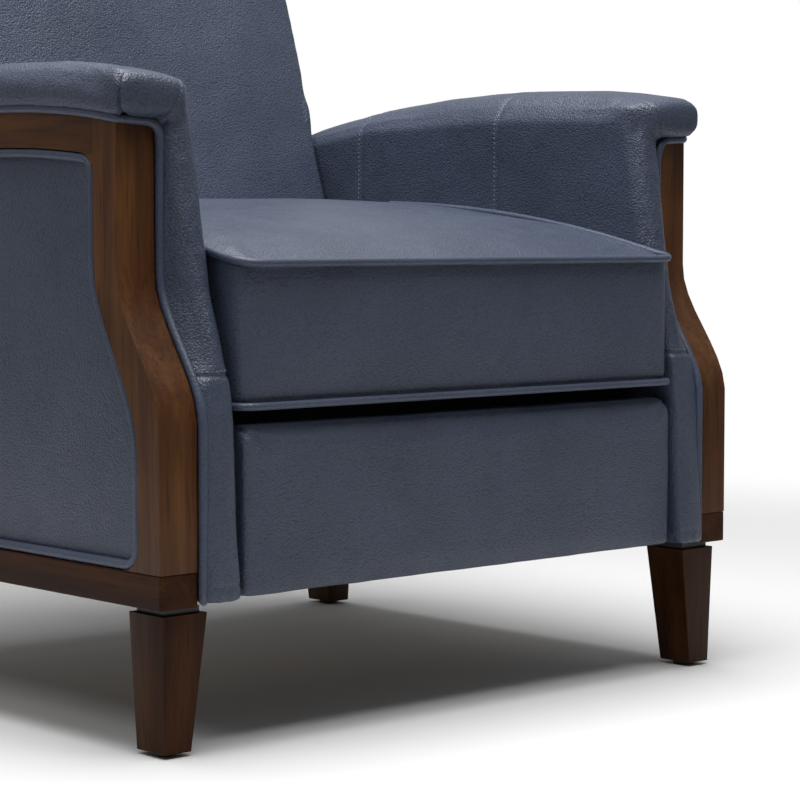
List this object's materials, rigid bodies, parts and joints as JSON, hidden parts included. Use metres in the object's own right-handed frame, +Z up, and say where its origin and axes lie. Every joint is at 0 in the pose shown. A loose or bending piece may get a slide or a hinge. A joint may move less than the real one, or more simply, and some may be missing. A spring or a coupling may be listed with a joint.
{
  "type": "recliner armchair",
  "caption": "Push-back recliner with curved wooden side frames, padded arms, a seat on slides, a reclining back and a footrest on swinging links.",
  "frame": {"origin": "on the floor, under the middle of the chair's bounding box at rest", "axes": "+X to the sitter's left, +Y towards the back of the chair, +Z up"},
  "size_m": [0.758, 0.8528, 1.0413],
  "materials": {
    "wood": "walnut-stained hardwood, satin lacquer",
    "frame_wood": "unfinished plywood and pine",
    "leather": "dark slate blue, fine pebble grain, satin",
    "steel": "satin black paint",
    "zinc": "bright zinc plate",
    "nylon": "matte black nylon",
    "webbing": "woven elastic webbing"
  },
  "bodies": {
    "base": {"front_post_left": "wood", "front_post_right": "wood", "top_rail_left": "wood", "top_rail_right": "wood", "bottom_rail_left": "wood", "bottom_rail_right": "wood", "rear_post_left": "wood", "rear_post_right": "wood", "leg_front_left": "wood", "leg_front_right": "wood", "leg_rear_left": "wood", "leg_rear_right": "wood", "leg_plates": "steel", "leg_glides": "nylon", "arm_core_left": "frame_wood", "arm_core_right": "frame_wood", "arm_pad_left": "leather", "arm_pad_right": "leather", "arm_front_left": "leather", "arm_front_right": "leather", "arm_cap_left": "leather", "arm_cap_right": "leather", "side_panel_left": "leather", "side_panel_right": "leather", "cross_rail_middle": "frame_wood", "cross_rail_rear": "frame_wood", "slide_channel_left": "steel", "slide_channel_right": "steel", "channel_screws": "zinc"},
    "seat": {"seat_cushion": "leather", "seat_rail_left": "frame_wood", "seat_rail_right": "frame_wood", "seat_rail_front": "frame_wood", "seat_rail_rear": "frame_wood", "seat_webbing": "webbing", "side_plate_left": "steel", "side_plate_right": "steel", "slide_runner_left": "zinc", "slide_runner_right": "zinc"},
    "back": {"back_cushion": "leather", "back_shell": "leather", "back_stile_left": "frame_wood", "back_stile_right": "frame_wood", "back_rail_top": "frame_wood", "back_rail_bottom": "frame_wood", "back_bracket_left": "steel", "back_bracket_right": "steel"},
    "rear_links": {"rear_link_left": "steel", "rear_link_right": "steel", "torque_tube": "steel"},
    "idler_left": {"idler_link_left": "steel"},
    "idler_right": {"idler_link_right": "steel"},
    "front_links": {"front_link_left": "steel", "front_link_right": "steel", "link_tube": "steel"},
    "footrest": {"footrest_pad": "leather", "footrest_board": "frame_wood", "footrest_brackets": "steel"}
  },
  "joints": [
    {"name": "seat_slide", "type": "slide", "parent": "base", "child": "seat", "axis": [0, -1, 0], "range_m": [0, 0.075]},
    {"name": "back_recline", "type": "hinge", "parent": "seat", "child": "back", "pos_m": [0, 0.16895, 0.30832], "axis": [-1, 0, 0], "range_deg": [0, 28]},
    {"name": "footrest_swing", "type": "hinge", "parent": "seat", "child": "rear_links", "pos_m": [0, -0.34242, 0.262], "axis": [-1, 0, 0], "range_deg": [0, 142]},
    {"name": "idler_swing_left", "type": "hinge", "parent": "seat", "child": "idler_left", "pos_m": [0, -0.2864, 0.2405], "axis": [-1, 0, 0], "range_deg": [0, 142]},
    {"name": "idler_swing_right", "type": "hinge", "parent": "seat", "child": "idler_right", "pos_m": [0, -0.2864, 0.2405], "axis": [-1, 0, 0], "range_deg": [0, 142]},
    {"name": "front_link_pivot", "type": "hinge", "parent": "rear_links", "child": "front_links", "pos_m": [0, -0.18921, 0.13344], "axis": [-1, 0, 0], "range_deg": [-142, 0]},
    {"name": "footrest_tilt", "type": "hinge", "parent": "front_links", "child": "footrest", "pos_m": [0, -0.35242, 0.208], "axis": [-1, 0, 0], "range_deg": [0, 90]}
  ],
  "couplings": [
    {"joint": "back_recline", "follows": "seat_slide", "rad_per_m": 6.5158},
    {"joint": "idler_swing_left", "follows": "footrest_swing", "ratio": 1},
    {"joint": "idler_swing_right", "follows": "footrest_swing", "ratio": 1},
    {"joint": "front_link_pivot", "follows": "footrest_swing", "ratio": -1},
    {"joint": "footrest_tilt", "follows": "footrest_swing", "ratio": 0.6338}
  ]
}
